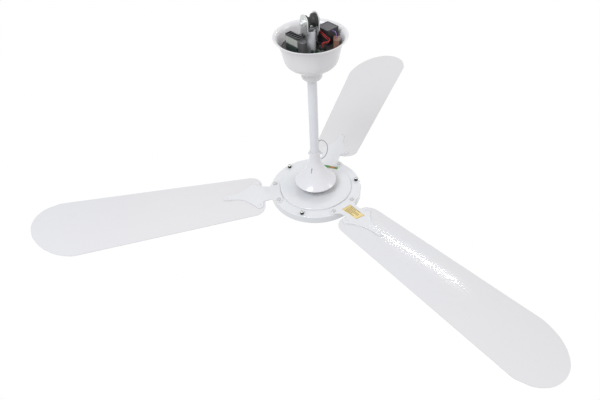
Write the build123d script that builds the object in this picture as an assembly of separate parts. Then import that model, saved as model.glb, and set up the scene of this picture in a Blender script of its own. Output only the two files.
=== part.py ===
from build123d import *
import math
import os

# Three-blade ceiling fan on a short down-rod, in millimetres.
# The origin is the centre of the rubber hanger reel, where the ceiling hook carries the fan.
# +Z is up and +X runs along the reel's bolt.

# Blades
sweep_radius = 700.0
blade_angle = 39.0
blade_count = 3
blade_thickness = 1.5
blade_root_radius = 131.8
blade_root_trail = 57.3
blade_root_lead = 61.8
blade_tip_trail = 82.5
blade_tip_lead = 84.7
blade_trail_tip = 111.8
blade_lead_tip = 78.8
blade_tip_offset = -15.3
blade_trail_power = 1.83
blade_lead_power = 2.25
blade_corner_radius = 30.0
blade_drop = 4.34
blade_droop = 0.0173
blade_droop_station = 450.0
blade_pitch = 0.1412
blade_camber = 0.000985
blade_section_half = 95.0

# Blade irons
iron_thickness = 2.5
iron_neck_half = 23.5
iron_leaf_inset = 0.8
iron_leaf_start = blade_root_radius - iron_leaf_inset
iron_neck_start = 115.0
iron_ear_inset = 15.1
iron_ear_station = blade_root_radius + iron_ear_inset
iron_ear_spread = 32.8
iron_ear_radius = 9.5
iron_nose_inset = 92.8
iron_nose_station = blade_root_radius + iron_nose_inset
iron_nose_offset = -3.4
iron_nose_radius = 7.0
iron_foot_radius = 9.5
iron_waist_inset = 54.2
iron_waist_station = blade_root_radius + iron_waist_inset
iron_waist_half = 13.5
rivet_shank_radius = 2.4
rivet_head_radius = 4.0
rivet_head_height = 1.6
rivet_tail_height = 1.0
rivet_tail_gap = 0.05

# Fastener circle on the motor's flange
flange_circle_radius = 103.2
iron_screw_spread = 17.15
screw_radius = 2.5
screw_head_radius = 4.3
screw_head_height = 3.4
washer_radius = 5.6
washer_thickness = 1.0
screw_tip_length = 2.0
cover_bolt_head_radius = 4.4
cover_bolt_head_height = 8.5
cover_bolt_grip = 15.0

# Motor housing, heights from the flange's top face
flange_level = -440.0
motor_radius = 112.4
cover_wall = 3.0
raised_disc_radius = 88.5
raised_disc_height = 5.5
seam_depth = 9.0
motor_shoulder_depth = 17.0
motor_edge_fillet = 1.8
bowl_points = [(108.2, -20.5), (99.8, -30.0), (87.0, -42.0), (72.0, -53.5), (52.0, -63.0)]
bowl_floor_radius = 32.0
bowl_depth = 67.0
boss_clearance = 0.4
bottom_cap_radius = 25.0
bottom_cap_height = 7.0
cap_plug_length = 6.0

# Rotor and stator inside the housing
rotor_ring_radius = 96.0
rotor_ring_wall = 4.0
register_wall = 3.0
register_length = 17.0
magnet_thickness = 6.0
magnet_count = 16
magnet_gap_angle = 3.0
air_gap = 1.0
core_top = -9.0
core_height = 18.0
slot_count = 12
core_yoke_radius = 46.0
tooth_width = 11.0
tooth_shoe_depth = 4.0
slot_mouth = 4.0
coil_build = 4.5
coil_gap = 0.3
coil_length = 26.0

# Shaft and bearings
shaft_seat_radius = 7.5
shaft_core_radius = 9.0
shaft_collar_radius = 10.0
shaft_bore_radius = 3.6
spigot_length = 40.0
bearing_outer_radius = 17.5
bearing_width = 11.0
bearing_ring_wall = 2.9
bearing_ball_radius = 2.9
bearing_ball_count = 8
race_clearance = 0.08
bearing_hub_wall = 4.5
shaft_hole_clearance = 3.0
lower_bearing_top = -36.0
circlip_radius = 9.6
circlip_thickness = 1.2
shaft_tail = 3.5

# Down-rod and its coupling to the shaft
rod_radius = 10.65
rod_wall = 2.75
rod_bottom_height = 45.0
rod_top = -19.5
spigot_clearance = 0.1
coupling_height = 58.0
coupling_bolt_radius = 3.0
coupling_head_radius = 5.2
coupling_head_height = 4.0
split_pin_radius = 0.8
wire_hole_radius = 4.5
wire_hole_drop = 62.0

# Shackle and reel
reel_radius = 13.9
reel_length = 24.0
reel_waist_radius = 8.5
reel_lip = 4.5
reel_bore_clearance = 0.1
reel_side_clearance = 0.3
shackle_wall = 2.4
ear_half_width = 13.5
ear_rise = 17.0
shackle_web_gap = 1.45
shackle_web_top = -19.0
shackle_bottom = -40.0
shackle_cut = 12.0
reel_bolt_radius = 4.0
reel_nut_flats = 13.0
reel_nut_height = 4.0
reel_washer_radius = 8.2
bolt_tail = 2.5
tie_bolt_level = -26.0
tie_bolt_radius = 2.5
tie_nut_flats = 9.0
tie_nut_height = 4.0
hole_clearance = 0.15
hole_turn = 145.0

# Canopy bowl, heights from the origin
canopy_wall = 1.4
canopy_rim_radius = 78.0
canopy_rim_level = -30.5
canopy_lip_radius = 1.2
canopy_points = [(70.6, -36.0), (67.8, -42.0), (65.3, -50.0), (60.5, -70.0), (58.4, -80.0),
                 (55.0, -88.5), (48.4, -95.0), (36.4, -104.0)]
canopy_crease = (24.8, -113.0)
canopy_cup_radius = 23.0
canopy_cup_corner = 9.0
canopy_bottom = -131.0
canopy_rod_clearance = 0.3
collar_height = 8.0
grub_screw_radius = 2.5
grub_screw_stand = 2.0

# Electronics carried in the canopy
tray_turn = 10.0
tray_level = -55.5
tray_thickness = 2.5
tray_hole_radius = 24.0
tray_edge_gap = 0.25
driver_size = (31.0, 33.0, 33.0)
driver_place = (41.0, -8.0)
driver_lid_height = 2.0
driver_lid_inset = 1.2
supply_size = (17.0, 34.0, 11.0)
supply_place = (-33.0, 14.0)
module_size = (15.0, 39.0, 18.0)
module_place = (-30.5, 15.0)
module_frame_wall = 1.8
module_frame_height = 2.6
module_slots = 5
module_cap_radius = 7.5
module_cap_drop = 2.0
label_size = (36.0, 14.0)
label_thickness = 0.5
capacitor_size = (12.0, 21.0, 17.0)
capacitor_radius = 53.0
capacitor_angle = -46.0
capacitor_foot_height = 1.5
capacitor_foot_inset = 1.0
board_inner_radius = 26.0
board_outer_radius = 56.0
board_start = -141.0
board_sweep = 44.0
board_thickness = 1.6
board_lift = 2.5
standoff_radius = 2.5
terminal_size = (8.0, 12.0, 8.0)
terminal_radius = 31.0
terminal_angle = -80.0
terminal_pitch = 2.5
wire_diameter = 1.4
wire_end_gap = 0.05

# Lower cover, heights from the flange's top face
cover_points = [(12.7, 112.0), (12.9, 102.0), (14.0, 88.0), (17.6, 74.0), (24.3, 60.0),
                (33.2, 46.0), (42.6, 34.5), (50.6, 26.5)]
cover_sheet = 1.3
cover_rod_clearance = 0.3
cover_rim_fold = 2.0
cover_grip_height = 9.0
cover_screw_radius = 1.5
cover_screw_head = 2.4
cover_screw_level = 107.0
cover_screw_reach = 2.6
loop_wire_diameter = 2.0
slot_width = 2.0
slot_length = 12.0
slot_level = 66.0
slot_angle = -146.0


def tube(outer, inner, bottom, top):
    """Plain ring about Z between two heights."""
    ring = Circle(outer) - Circle(inner) if inner > 0 else Circle(outer)
    return Pos(0, 0, bottom) * extrude(ring, top - bottom)


def block(size, centre, bottom, corner=0.0):
    """Box standing on a height, with its upright edges rounded."""
    face = RectangleRounded(size[0], size[1], corner) if corner else Rectangle(size[0], size[1])
    return Pos(centre[0], centre[1], bottom) * extrude(face, size[2])


def across(radius, start, end, y, z):
    """Round bar along X between two places."""
    return Pos((start + end) / 2, y, z) * Rot(0, 90, 0) * Cylinder(radius, end - start)


def hexagon_across(flats, start, end, y, z, hole=0.0):
    """Hexagon nut or head along X between two places."""
    face = RegularPolygon(flats / 2, 6, major_radius=False)
    if hole:
        face = face - Circle(hole)
    return Pos(start, y, z) * Rot(0, 90, 0) * extrude(face, end - start)


def polar(radius, degrees, z=0.0):
    """Point at a radius and an angle about Z."""
    angle = math.radians(degrees)
    return Pos(radius * math.cos(angle), radius * math.sin(angle), z)


def around(shape, count, start):
    """Copies of a shape, evenly spaced about Z."""
    return [Rot(0, 0, start + 360.0 * i / count) * shape for i in range(count)]


def offset_points(points, distance):
    """The same profile moved sideways by a distance, to the right of its direction."""
    moved = []
    for i, (r, z) in enumerate(points):
        before = points[max(i - 1, 0)]
        after = points[min(i + 1, len(points) - 1)]
        run, rise = after[0] - before[0], after[1] - before[1]
        length = math.hypot(run, rise)
        moved.append((r + distance * rise / length, z - distance * run / length))
    return moved


def radius_at(points, z):
    """Radius of a profile at a height, along straight lines between its points."""
    for (r0, z0), (r1, z1) in zip(points, points[1:]):
        if min(z0, z1) <= z <= max(z0, z1):
            return r0 + (r1 - r0) * (z - z0) / (z1 - z0)
    return points[-1][0]


def spun(edges):
    """Solid of revolution about Z from a closed outline in radius and height."""
    return revolve(make_face([Plane.XZ * e for e in edges]), Axis.Z)


def save(node, *solids):
    """Write one node, as one solid or a group of separate solids."""
    parts = []
    for item in solids:
        parts.extend(item.solids())
    shape = parts[0] if len(parts) == 1 else Compound(children=parts)
    export_step(shape, f"parts/{node}.step")


# Blades and irons

def camber_circle():
    """Side, height and radius of the circle that the blade's section follows."""
    half = blade_section_half
    trail = -blade_pitch * half - blade_camber * half ** 2
    lead = blade_pitch * half - blade_camber * half ** 2
    height = (2 * half ** 2 + lead ** 2 + trail ** 2) / (2 * (lead + trail))
    side = (2 * height * lead - half ** 2 - lead ** 2) / (2 * half)
    return side, height, math.hypot(side, height)


def blade_height(station, side):
    """Height of the blade's top surface above the flange face."""
    centre, height, radius = camber_circle()
    droop = blade_drop + blade_droop * (station - blade_droop_station)
    return height + math.sqrt(radius ** 2 - (side - centre) ** 2) - droop


def camber_sheet(start, end, low, high):
    """Cambered, pitched sheet between two stations, from low to high above the blade's top."""
    half = blade_section_half

    def arc(lift):
        return ThreePointArc(*[(start, s, blade_height(start, s) + lift) for s in (-half, 0, half)])

    lower, upper = arc(low), arc(high)
    sides = [Line(lower @ 0, upper @ 0), Line(lower @ 1, upper @ 1)]
    face = make_face([lower, upper] + sides)
    length = (end - start) * math.hypot(1, blade_droop)
    return extrude(face, length, dir=(1, 0, -blade_droop))


def tip_quarter(station, half, power, steps=7):
    """Quarter of a superellipse from the blade's side to its tip."""
    reach = sweep_radius - station
    points = []
    for i in range(steps):
        angle = math.pi / 2 * i / (steps - 1)
        x = max(math.sin(angle), 0.0) ** (2 / power)
        y = max(math.cos(angle), 0.0) ** (2 / power)
        points.append((station + reach * x, blade_tip_offset + (half - blade_tip_offset) * y))
    return points


def blade_outline():
    """Plan outline of a blade, along X from root to tip."""
    trail_end = sweep_radius - blade_trail_tip
    lead_end = sweep_radius - blade_lead_tip
    trail = tip_quarter(trail_end, blade_tip_trail, blade_trail_power)
    lead = tip_quarter(lead_end, -blade_tip_lead, blade_lead_power)
    tip = Spline(trail + lead[-2::-1], tangents=[(1, 0.05), (-1, 0.05)])
    trail_side = Line((blade_root_radius, blade_root_trail), (trail_end, blade_tip_trail))
    lead_side = Line((blade_root_radius, -blade_root_lead), (lead_end, -blade_tip_lead))
    root = Line((blade_root_radius, -blade_root_lead), (blade_root_radius, blade_root_trail))
    face = make_face([tip, trail_side, lead_side, root])
    corners = face.vertices().sort_by(Axis.X)[:2]
    return fillet(corners, blade_corner_radius)


def leaf_outline():
    """Plan outline of the iron where it lies on the blade."""
    nose = iron_nose_offset
    shapes = []
    for side in (1, -1):
        ear = (iron_ear_station, side * iron_ear_spread)
        ear_edge = (iron_ear_station + 2.0, side * (iron_ear_spread + iron_ear_radius - 0.4))
        nose_edge = (iron_nose_station, nose + side * iron_nose_radius)
        waist = (iron_waist_station, nose + side * iron_waist_half)
        flank = Spline([ear_edge, waist, nose_edge], tangents=[(0.75, -side * 0.65), (1, 0)])
        closing = Polyline(nose_edge, (iron_nose_station, nose), (iron_leaf_start, 0),
                           (iron_leaf_start, side * iron_neck_half), ear, ear_edge)
        shapes.append(make_face([flank] + closing.edges()))
        shapes.append(Pos(*ear) * Circle(iron_ear_radius))
    shapes.append(Pos(iron_nose_station, nose) * Circle(iron_nose_radius))
    root = Pos((iron_leaf_start + iron_ear_station) / 2, 0)
    shapes.append(root * Rectangle(iron_ear_station - iron_leaf_start, 2 * iron_neck_half))
    outline = shapes[0]
    for shape in shapes[1:]:
        outline = outline + shape
    return outline


def foot_outline():
    """Plan outline of the iron where it sits on the flange."""
    reach = flange_circle_radius * math.cos(math.radians(iron_screw_spread))
    side = flange_circle_radius * math.sin(math.radians(iron_screw_spread))
    foot = Pos(reach, side) * Circle(iron_foot_radius) + Pos(reach, -side) * Circle(iron_foot_radius)
    plate = make_face(Polyline((reach, side + iron_foot_radius), (iron_neck_start, iron_neck_half),
                               (iron_neck_start, -iron_neck_half), (reach, -side - iron_foot_radius),
                               (reach - iron_foot_radius, -side), (reach - iron_foot_radius, side),
                               close=True))
    return foot + plate - Circle(raised_disc_radius + 1.5)


def rivet_places():
    """Station, side and surface tilt of each rivet of an iron."""
    places = [(iron_ear_station, iron_ear_spread), (iron_ear_station, -iron_ear_spread),
              (iron_nose_station, iron_nose_offset)]
    tilted = []
    for station, side in places:
        centre, height, radius = camber_circle()
        roll = -math.degrees(math.asin((side - centre) / radius))
        frame = Pos(station, side, blade_height(station, side))
        tilted.append(frame * Rot(roll, math.degrees(blade_droop), 0))
    return tilted


def screw_places():
    """The two screws of an iron, on the flange's circle."""
    return [polar(flange_circle_radius, side * iron_screw_spread) for side in (1, -1)]


def rivet_holes():
    """Upright holes for the rivets, as circles in plan."""
    radius = rivet_shank_radius + hole_clearance
    return [Pos(p.position.X, p.position.Y) * Circle(radius) for p in rivet_places()]


def make_blade():
    sheet = camber_sheet(blade_root_radius - 8, sweep_radius + 8, -blade_thickness, 0.0)
    blade = sheet & (Pos(0, 0, -60) * extrude(blade_outline(), 100))
    radius = rivet_shank_radius + hole_clearance
    for place in rivet_places():
        spot = Pos(place.position.X, place.position.Y, -5) * Rot(0, 0, hole_turn)
        blade = blade - spot * Cylinder(radius, 30)
    return blade


def make_iron():
    outline = leaf_outline()
    for hole in rivet_holes():
        outline = outline - hole
    leaf = camber_sheet(iron_leaf_start, iron_nose_station + 4 * iron_nose_radius, 0.0,
                        iron_thickness)
    leaf = leaf & (Pos(0, 0, -60) * extrude(outline, 100))
    leaf_end = leaf.faces().sort_by(Axis.X)[0]
    foot = extrude(foot_outline(), iron_thickness)
    foot_end = Pos(iron_neck_start, 0, iron_thickness / 2) * Rot(0, 90, 0) * Rectangle(
        iron_thickness, 2 * iron_neck_half)
    neck = loft([foot_end.face(), leaf_end], ruled=True)
    iron = foot + neck + leaf
    for place in screw_places():
        iron = iron - place * Cylinder(screw_radius + hole_clearance, 12)
    return iron


def make_rivet(place):
    """Rivet with an upright shank, and a head and tail that follow the blade's slope."""
    base = (Align.CENTER, Align.CENTER, Align.MIN)
    grip = iron_thickness + blade_thickness
    shank = Cylinder(rivet_shank_radius, grip + 0.8, align=base)
    shank = Pos(*place.position) * Pos(0, 0, -blade_thickness - 0.4) * shank
    dome = Sphere(rivet_head_radius) & Pos(0, 0, rivet_head_radius / 2) * Box(
        2 * rivet_head_radius, 2 * rivet_head_radius, rivet_head_radius)
    head = scale(dome, (1, 1, rivet_head_height / rivet_head_radius))
    tail = Cylinder(rivet_head_radius * 0.8, rivet_tail_height, align=base)
    low = -blade_thickness - rivet_tail_gap - rivet_tail_height
    return shank + place * Pos(0, 0, iron_thickness) * head + place * Pos(0, 0, low) * tail


def make_iron_screw():
    """Cross-head screw with its washer's room under the head."""
    seat = iron_thickness + washer_thickness
    head = tube(screw_head_radius, 0, seat, seat + screw_head_height)
    head = fillet(head.edges().sort_by(Axis.Z)[-1:], 1.0)
    shank = tube(screw_radius, 0, -cover_wall - screw_tip_length, seat)
    return head + shank - cross_recess(screw_head_radius * 0.55, seat + screw_head_height)


def cross_recess(reach, top):
    """Cross slot cut into a screw's head."""
    bar = Box(2 * reach, 0.9, 2.4)
    return Pos(0, 0, top) * (bar + Rot(0, 0, 90) * bar)


def make_cover_bolt():
    """Tall-headed bolt that holds the two halves of the housing together."""
    head = tube(cover_bolt_head_radius, 0, 0, cover_bolt_head_height)
    head = chamfer(head.edges().sort_by(Axis.Z)[-1:], 0.6)
    shank = tube(screw_radius, 0, -cover_bolt_grip, 0)
    return head + shank - cross_recess(cover_bolt_head_radius * 0.55, cover_bolt_head_height)


# Motor

def make_top_cover():
    """Upper half of the housing: flange, raised disc, skirt, register and bearing hub."""
    disc = raised_disc_height
    hole = bearing_outer_radius - bearing_ring_wall - 0.6
    hub = bearing_outer_radius + bearing_hub_wall
    under = disc - cover_wall
    outline = Polyline((hole, disc), (raised_disc_radius - 1.5, disc), (raised_disc_radius, disc - 1.5),
                       (raised_disc_radius, 0), (motor_radius, 0), (motor_radius, -seam_depth),
                       (motor_radius - cover_wall, -seam_depth), (motor_radius - cover_wall, -cover_wall),
                       (rotor_ring_radius + register_wall, -cover_wall),
                       (rotor_ring_radius + register_wall, -cover_wall - register_length),
                       (rotor_ring_radius, -cover_wall - register_length),
                       (rotor_ring_radius, -cover_wall),
                       (raised_disc_radius - cover_wall, -cover_wall),
                       (raised_disc_radius - cover_wall, under), (hub, under),
                       (hub, under - bearing_width), (bearing_outer_radius, under - bearing_width),
                       (bearing_outer_radius, under), (hole, under), close=True)
    cover = spun(outline.edges())
    rim = [e for e in cover.edges().filter_by(GeomType.CIRCLE)
           if abs(e.radius - motor_radius) < 0.01 and abs(e.center().Z) < 0.01]
    cover = fillet(rim, motor_edge_fillet)
    for place in flange_holes():
        cover = cover - place * Cylinder(screw_radius + hole_clearance, 4 * cover_wall)
    return cover


def flange_holes():
    """Places of every screw hole in the flange."""
    places = []
    for i in range(blade_count):
        turn = Rot(0, 0, blade_angle + 360.0 * i / blade_count)
        places += [turn * place for place in screw_places()]
        places.append(turn * polar(flange_circle_radius, 180.0 / blade_count))
    return places


def make_bottom_cover():
    """Lower half of the housing: wall, bowl, floor, bearing hub and bolt bosses."""
    outer = [(motor_radius, -motor_shoulder_depth)] + bowl_points
    outer.append((bowl_floor_radius, -bowl_depth))
    inner = [(r - cover_wall * 0.75, z + cover_wall * 0.6) for r, z in bowl_points]
    inner = [(motor_radius - cover_wall, -motor_shoulder_depth)] + inner
    inner.append((bowl_floor_radius, -bowl_depth + cover_wall))
    hub = bearing_outer_radius + bearing_hub_wall
    floor = -bowl_depth + cover_wall
    hole = bearing_outer_radius - 1.0
    stop = lower_bearing_top - bearing_width
    wall = Line((motor_radius - cover_wall, -seam_depth), (motor_radius, -seam_depth))
    edges = [wall, Line((motor_radius, -seam_depth), outer[0]),
             Spline(outer, tangents=[(0, -1), (-1, 0)]),
             Line(outer[-1], (hole, -bowl_depth)), Line((hole, -bowl_depth), (hole, stop)),
             Line((hole, stop), (bearing_outer_radius, stop)),
             Line((bearing_outer_radius, stop), (bearing_outer_radius, lower_bearing_top)),
             Line((bearing_outer_radius, lower_bearing_top), (hub, lower_bearing_top)),
             Line((hub, lower_bearing_top), (hub, floor)), Line((hub, floor), inner[-1]),
             Spline(inner[::-1], tangents=[(1, 0), (0, 1)]),
             Line(inner[0], (motor_radius - cover_wall, -seam_depth))]
    cover = spun(edges)
    radius = flange_circle_radius - rotor_ring_radius - register_wall - boss_clearance
    reach = motor_radius - flange_circle_radius - 1.0
    web = block((reach, 2 * radius, motor_shoulder_depth - seam_depth),
                (flange_circle_radius + reach / 2, 0), -motor_shoulder_depth)
    boss = polar(flange_circle_radius, 0) * tube(radius, 0, -motor_shoulder_depth, -seam_depth)
    bosses = around(boss + web, blade_count, blade_angle + 180.0 / blade_count)
    for item in bosses:
        cover = cover + item
    bore = polar(flange_circle_radius, 0) * tube(screw_radius + 0.02, 0,
                                                 -cover_bolt_grip - 1.0, -seam_depth + 1.0)
    for item in around(bore, blade_count, blade_angle + 180.0 / blade_count):
        cover = cover - item
    return cover


def make_bottom_cap():
    """Domed cap pressed into the lower cover's hub."""
    dome = Spline([(bottom_cap_radius, -bowl_depth), (bottom_cap_radius * 0.8, -bowl_depth - 4.6),
                   (0, -bowl_depth - bottom_cap_height)], tangents=[(0, -1), (-1, 0)])
    plug = bearing_outer_radius - 1.1
    edges = [dome, Line((0, -bowl_depth - bottom_cap_height), (0, -bowl_depth + cap_plug_length)),
             Line((0, -bowl_depth + cap_plug_length), (plug, -bowl_depth + cap_plug_length)),
             Line((plug, -bowl_depth + cap_plug_length), (plug, -bowl_depth)),
             Line((plug, -bowl_depth), (bottom_cap_radius, -bowl_depth))]
    return spun(edges)


def make_rotor_ring():
    bottom = core_top - core_height
    return tube(rotor_ring_radius, rotor_ring_radius - rotor_ring_wall, bottom, core_top + 1.0)


def make_magnets():
    """Curved magnets on the inside of the rotor ring."""
    outer = rotor_ring_radius - rotor_ring_wall
    ring = Circle(outer) - Circle(outer - magnet_thickness)
    half = math.radians(180.0 / magnet_count - magnet_gap_angle / 2)
    reach = outer * 1.3
    wedge = make_face(Polyline((0, 0), (reach, -reach * math.tan(half)),
                               (reach, reach * math.tan(half)), close=True))
    magnet = Pos(0, 0, core_top - core_height) * extrude(ring & wedge, core_height)
    return around(magnet, magnet_count, 0)


def core_radius():
    return rotor_ring_radius - rotor_ring_wall - magnet_thickness - air_gap


def make_core():
    """Laminated core with its teeth and pole shoes."""
    outer = core_radius()
    hub = Circle(core_yoke_radius)
    shoes = Circle(outer) - Circle(outer - tooth_shoe_depth)
    tooth = Pos((core_yoke_radius + outer) / 2 - 2, 0) * Rectangle(
        outer - core_yoke_radius, tooth_width)
    step = 360.0 / slot_count
    gap = Pos(outer, 0) * Rectangle(4 * tooth_shoe_depth, slot_mouth)
    face = hub + shoes
    for i in range(slot_count):
        face = face + Rot(0, 0, i * step) * tooth
    for i in range(slot_count):
        face = face - Rot(0, 0, (i + 0.5) * step) * gap
    face = face - Circle(shaft_core_radius)
    return Pos(0, 0, core_top - core_height) * extrude(face, core_height)


def make_windings():
    """One closed coil round each tooth."""
    inner_w, inner_h = tooth_width + 2 * coil_gap, core_height + 2 * coil_gap
    ring = RectangleRounded(inner_w + 2 * coil_build, inner_h + 2 * coil_build, coil_build)
    ring = ring - Rectangle(inner_w, inner_h)
    centre = core_yoke_radius + coil_gap + 1.0
    coil = Pos(centre, 0, core_top - core_height / 2) * Rot(0, 90, 0) * Rot(0, 0, 90) * extrude(
        ring, coil_length)
    return around(coil, slot_count, 0)


def make_bearing(top):
    """Inner ring, outer ring and balls of one bearing, hanging from its top face."""
    middle = top - bearing_width / 2
    pitch = (shaft_seat_radius + bearing_outer_radius) / 2
    groove = Pos(0, 0, middle) * Torus(pitch, bearing_ball_radius + race_clearance)
    inner = tube(shaft_seat_radius + bearing_ring_wall, shaft_seat_radius, top - bearing_width, top)
    outer = tube(bearing_outer_radius, bearing_outer_radius - bearing_ring_wall,
                 top - bearing_width, top)
    ball = Pos(pitch, 0, middle) * Sphere(bearing_ball_radius)
    return inner - groove, outer - groove, around(ball, bearing_ball_count, 0)


def make_shaft():
    """Hollow fixed shaft: spigot in the rod, collar, core seat and two bearing seats."""
    collar_bottom = raised_disc_height - cover_wall
    steps = [(rod_radius - rod_wall - spigot_clearance, rod_bottom_height + spigot_length,
              rod_bottom_height),
             (shaft_collar_radius, rod_bottom_height, collar_bottom),
             (shaft_seat_radius, collar_bottom, collar_bottom - bearing_width),
             (shaft_core_radius, collar_bottom - bearing_width, lower_bearing_top),
             (shaft_seat_radius, lower_bearing_top,
              lower_bearing_top - bearing_width - circlip_thickness - shaft_tail)]
    shaft = tube(steps[0][0], 0, steps[0][2], steps[0][1])
    for radius, top, bottom in steps[1:]:
        shaft = shaft + tube(radius, 0, bottom, top)
    shaft = shaft - tube(shaft_bore_radius, 0, collar_bottom - 2.0, steps[0][1] + 1)
    shaft = shaft - across(coupling_bolt_radius + hole_clearance, -20, 20, 0, coupling_height)
    groove = tube(shaft_seat_radius + 1, shaft_seat_radius - 0.8,
                  lower_bearing_top - bearing_width - circlip_thickness,
                  lower_bearing_top - bearing_width)
    return shaft - groove


def make_circlip():
    """Spring ring that keeps the lower bearing on the shaft."""
    top = lower_bearing_top - bearing_width
    ring = Circle(circlip_radius) - Circle(shaft_seat_radius - 0.75)
    ring = ring - Pos(circlip_radius, 0) * Rectangle(circlip_radius, 3.5)
    return Pos(0, 0, top - circlip_thickness) * extrude(ring, circlip_thickness)


# Rod, shackle and reel

def make_rod():
    bottom = flange_level + rod_bottom_height
    rod = tube(rod_radius, rod_radius - rod_wall, bottom, rod_top)
    rod = rod - across(coupling_bolt_radius + hole_clearance, -20, 20, 0,
                       flange_level + coupling_height)
    rod = rod - across(tie_bolt_radius + hole_clearance, -20, 20, 0, tie_bolt_level)
    hole = Pos(0, rod_radius, rod_top - wire_hole_drop) * Rot(90, 0, 0) * Cylinder(
        wire_hole_radius, 2 * rod_wall + 2)
    return rod - hole


def coupling_set():
    """Cross bolt, nut and split pin that join the rod to the shaft."""
    level = flange_level + coupling_height
    head = hexagon_across(2 * coupling_head_radius, rod_radius, rod_radius + coupling_head_height,
                          0, level)
    bolt = head + across(coupling_bolt_radius, -rod_radius - coupling_head_height - 5.0,
                         rod_radius + 1.0, 0, level)
    pin_x = -rod_radius - coupling_head_height - 2.5
    bolt = bolt - Pos(pin_x, 0, level) * Cylinder(split_pin_radius + 0.05, 10)
    nut = hexagon_across(2 * coupling_head_radius, -rod_radius - coupling_head_height, -rod_radius,
                         0, level, coupling_bolt_radius)
    pin = Pos(pin_x, 0, level) * Cylinder(split_pin_radius, 11)
    eye = Pos(pin_x, 0, level + 6.6) * Rot(0, 90, 0) * Torus(1.8, split_pin_radius)
    return bolt, nut, pin + eye


def gap_half():
    return reel_length / 2 + reel_side_clearance


def make_shackle():
    """Folded channel: two rounded ears and a web behind the rod."""
    half = ear_half_width
    inner = gap_half()
    web_face = rod_radius + shackle_web_gap
    web_back = web_face + shackle_wall
    side = Polyline((web_back, shackle_web_top), (half, -half * 0.2), (half, ear_rise - half),
                    (-half, ear_rise - half), (-half, shackle_web_top),
                    (shackle_cut - half, shackle_bottom), (web_back, shackle_bottom), close=True)
    profile = make_face(side) + Pos(0, ear_rise - half) * Circle(half)
    ear = extrude(Plane.YZ * profile, shackle_wall)
    ears = [Pos(inner, 0, 0) * ear, Pos(-inner - shackle_wall, 0, 0) * ear]
    web = Pos(0, (web_face + web_back) / 2, (shackle_web_top + shackle_bottom) / 2) * Box(
        2 * inner + 2 * shackle_wall, shackle_wall, shackle_web_top - shackle_bottom)
    shackle = ears[0] + ears[1] + web
    shackle = shackle - across(reel_bolt_radius + hole_clearance, -30, 30, 0, 0)
    return shackle - across(tie_bolt_radius + hole_clearance, -30, 30, 0, tie_bolt_level)


def make_reel():
    """Grooved rubber bobbin that the ceiling hook passes under."""
    half = reel_length / 2
    bore = reel_bolt_radius + reel_bore_clearance
    groove = Spline([(half - reel_lip, reel_radius), (0, reel_waist_radius),
                     (-half + reel_lip, reel_radius)], tangents=[(-0.5, -1), (-0.5, 1)])
    rim = Polyline((-half + reel_lip, reel_radius), (-half + 0.6, reel_radius), (-half, reel_radius - 1),
                   (-half, bore), (half, bore), (half, reel_radius - 1), (half - 0.6, reel_radius),
                   (half - reel_lip, reel_radius))
    face = make_face([groove] + rim.edges())
    return revolve(face, Axis.X)


def reel_bolt_set():
    """Bolt, nut and washers at the reel."""
    outer = gap_half() + shackle_wall
    washer = 1.2
    head_start = outer + washer
    head = hexagon_across(reel_nut_flats, head_start, head_start + reel_nut_height, 0, 0)
    bolt = head + across(reel_bolt_radius, -head_start - reel_nut_height - bolt_tail,
                         head_start + 1.0, 0, 0)
    bolt = chamfer(bolt.edges().sort_by(Axis.X)[:1], 0.7)
    nut = hexagon_across(reel_nut_flats, -head_start - reel_nut_height, -head_start, 0, 0,
                         reel_bolt_radius)
    ring = across(reel_washer_radius, outer, head_start, 0, 0) - across(reel_bolt_radius,
                                                                       0, 40, 0, 0)
    return bolt, nut, [ring, mirror(ring, Plane.YZ)]


def tie_bolt_set():
    """Cross bolt and nut that hold the rod in the shackle."""
    outer = gap_half() + shackle_wall
    bolt = hexagon_across(tie_nut_flats, outer, outer + tie_nut_height, 0, tie_bolt_level)
    bolt = bolt + across(tie_bolt_radius, -outer - tie_nut_height - 0.8, outer + 1.0, 0,
                         tie_bolt_level)
    nut = hexagon_across(tie_nut_flats, -outer - tie_nut_height, -outer, 0, tie_bolt_level,
                         tie_bolt_radius)
    return bolt, nut


# Canopy

def canopy_profile():
    return [(canopy_rim_radius - canopy_lip_radius, canopy_rim_level - canopy_lip_radius)] \
        + canopy_points + [canopy_crease]


def canopy_inner_radius(z):
    """Radius of the bowl's inside at a height."""
    return radius_at(offset_points(canopy_profile(), canopy_wall), z)


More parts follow.
